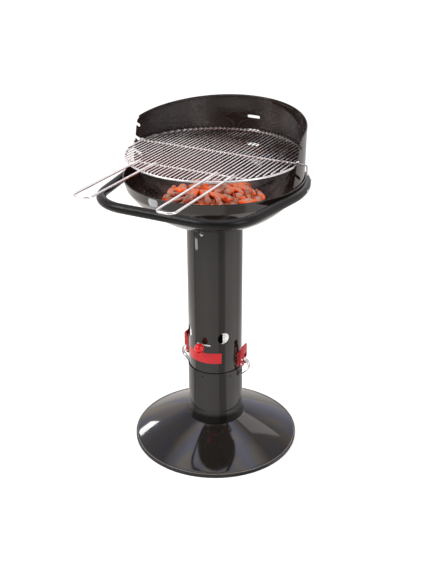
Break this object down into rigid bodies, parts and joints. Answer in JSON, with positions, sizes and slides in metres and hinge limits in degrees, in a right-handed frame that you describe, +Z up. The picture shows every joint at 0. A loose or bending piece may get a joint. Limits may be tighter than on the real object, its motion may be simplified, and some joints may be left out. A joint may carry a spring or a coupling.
{
  "type": "charcoal grill",
  "caption": "Free-standing round charcoal grill: dished foot, ash pot and column with air valve, deep bowl with windshield, tube handle and wire cooking grate with loop handles.",
  "frame": {"origin": "on the ground under the middle of the column", "axes": "+Z up, front with the handle bar and grate loops at -Y, +X to the right of a person standing in front"},
  "size_m": [0.5298, 0.7086, 0.9876],
  "materials": {
    "enamel": "high-gloss black porcelain enamel with a faint brown cast and a thin orange-peel ripple",
    "edge_rubber": "dull black extruded edge trim",
    "satin_black": "satin black powder coat on a bent tube",
    "black_plastic": "matte black moulded tube plug",
    "red_label": "semi-gloss red printed band, bare of print",
    "red_paint": "semi-gloss red powder-coated pressed steel",
    "red_ball": "glossy red moulded ball",
    "galvanised": "dull galvanised sheet with a light spangle",
    "zinc_steel": "bright zinc-plated fasteners",
    "chrome_wire": "bright chromed steel wire",
    "fire_wire": "dull heat-stained steel wire",
    "charcoal": "lit charcoal: glowing orange-red under grey ash, dark in the gaps"
  },
  "bodies": {
    "grill_body": {"base_dish": "enamel", "edge_trim": "edge_rubber", "base_bolts": "zinc_steel", "base_nuts": "zinc_steel", "ash_pot": "enamel", "column": "enamel", "label_band": "red_label", "latch_base_left": "red_paint", "latch_base_right": "red_paint", "latch_rivets": "zinc_steel", "lever_pin_left": "zinc_steel", "lever_pin_right": "zinc_steel", "bowl": "enamel", "bowl_screws": "zinc_steel", "bowl_nuts": "zinc_steel", "handle_tube": "satin_black", "handle_caps": "black_plastic", "handle_screws": "zinc_steel", "handle_nuts": "zinc_steel", "windshield": "enamel"},
    "air_valve": {"air_ring": "galvanised", "knob_stem": "zinc_steel", "air_knob": "red_ball", "knob_nut": "zinc_steel"},
    "lever_left": {"latch_lever_left": "red_paint", "hook_pin_left": "zinc_steel"},
    "lever_right": {"latch_lever_right": "red_paint", "hook_pin_right": "zinc_steel"},
    "hook_left": {"latch_hook_left": "chrome_wire"},
    "hook_right": {"latch_hook_right": "chrome_wire"},
    "cooking_grate": {"grate_ring": "chrome_wire", "grate_wires": "chrome_wire", "grate_cross_wire": "chrome_wire", "grate_front_wire": "chrome_wire", "grate_handle_left": "chrome_wire", "grate_handle_right": "chrome_wire", "grate_rear_hook": "chrome_wire"},
    "fire_bed": {"fire_grate": "fire_wire", "charcoal": "charcoal"}
  },
  "joints": [
    {"name": "air_ring_turn", "type": "hinge", "parent": "grill_body", "child": "air_valve", "pos_m": [0, 0, 0.337], "axis": [0, 0, 1], "range_deg": [-15, 15]},
    {"name": "latch_left_lever", "type": "hinge", "parent": "grill_body", "child": "lever_left", "pos_m": [-0.0915, 0, 0.26302], "axis": [0, -1, 0], "range_deg": [0, 100]},
    {"name": "latch_right_lever", "type": "hinge", "parent": "grill_body", "child": "lever_right", "pos_m": [0.0915, 0, 0.26302], "axis": [0, 1, 0], "range_deg": [0, 100]},
    {"name": "latch_left_hook", "type": "hinge", "parent": "lever_left", "child": "hook_left", "pos_m": [-0.0935, 0, 0.27902], "axis": [0, -1, 0], "range_deg": [-100, 0]},
    {"name": "latch_right_hook", "type": "hinge", "parent": "lever_right", "child": "hook_right", "pos_m": [0.0935, 0, 0.27902], "axis": [0, 1, 0], "range_deg": [-100, 0]},
    {"name": "cooking_grate_slide", "type": "slide", "parent": "grill_body", "child": "cooking_grate", "axis": [0, -0.8387, 0.5446], "range_m": [0, 0.045]},
    {"name": "fire_grate_lift", "type": "slide", "parent": "grill_body", "child": "fire_bed", "axis": [0, 0, 1], "range_m": [0, 0.08]}
  ],
  "couplings": [
    {"joint": "latch_left_hook", "follows": "latch_left_lever", "ratio": -1},
    {"joint": "latch_right_hook", "follows": "latch_right_lever", "ratio": -1}
  ]
}
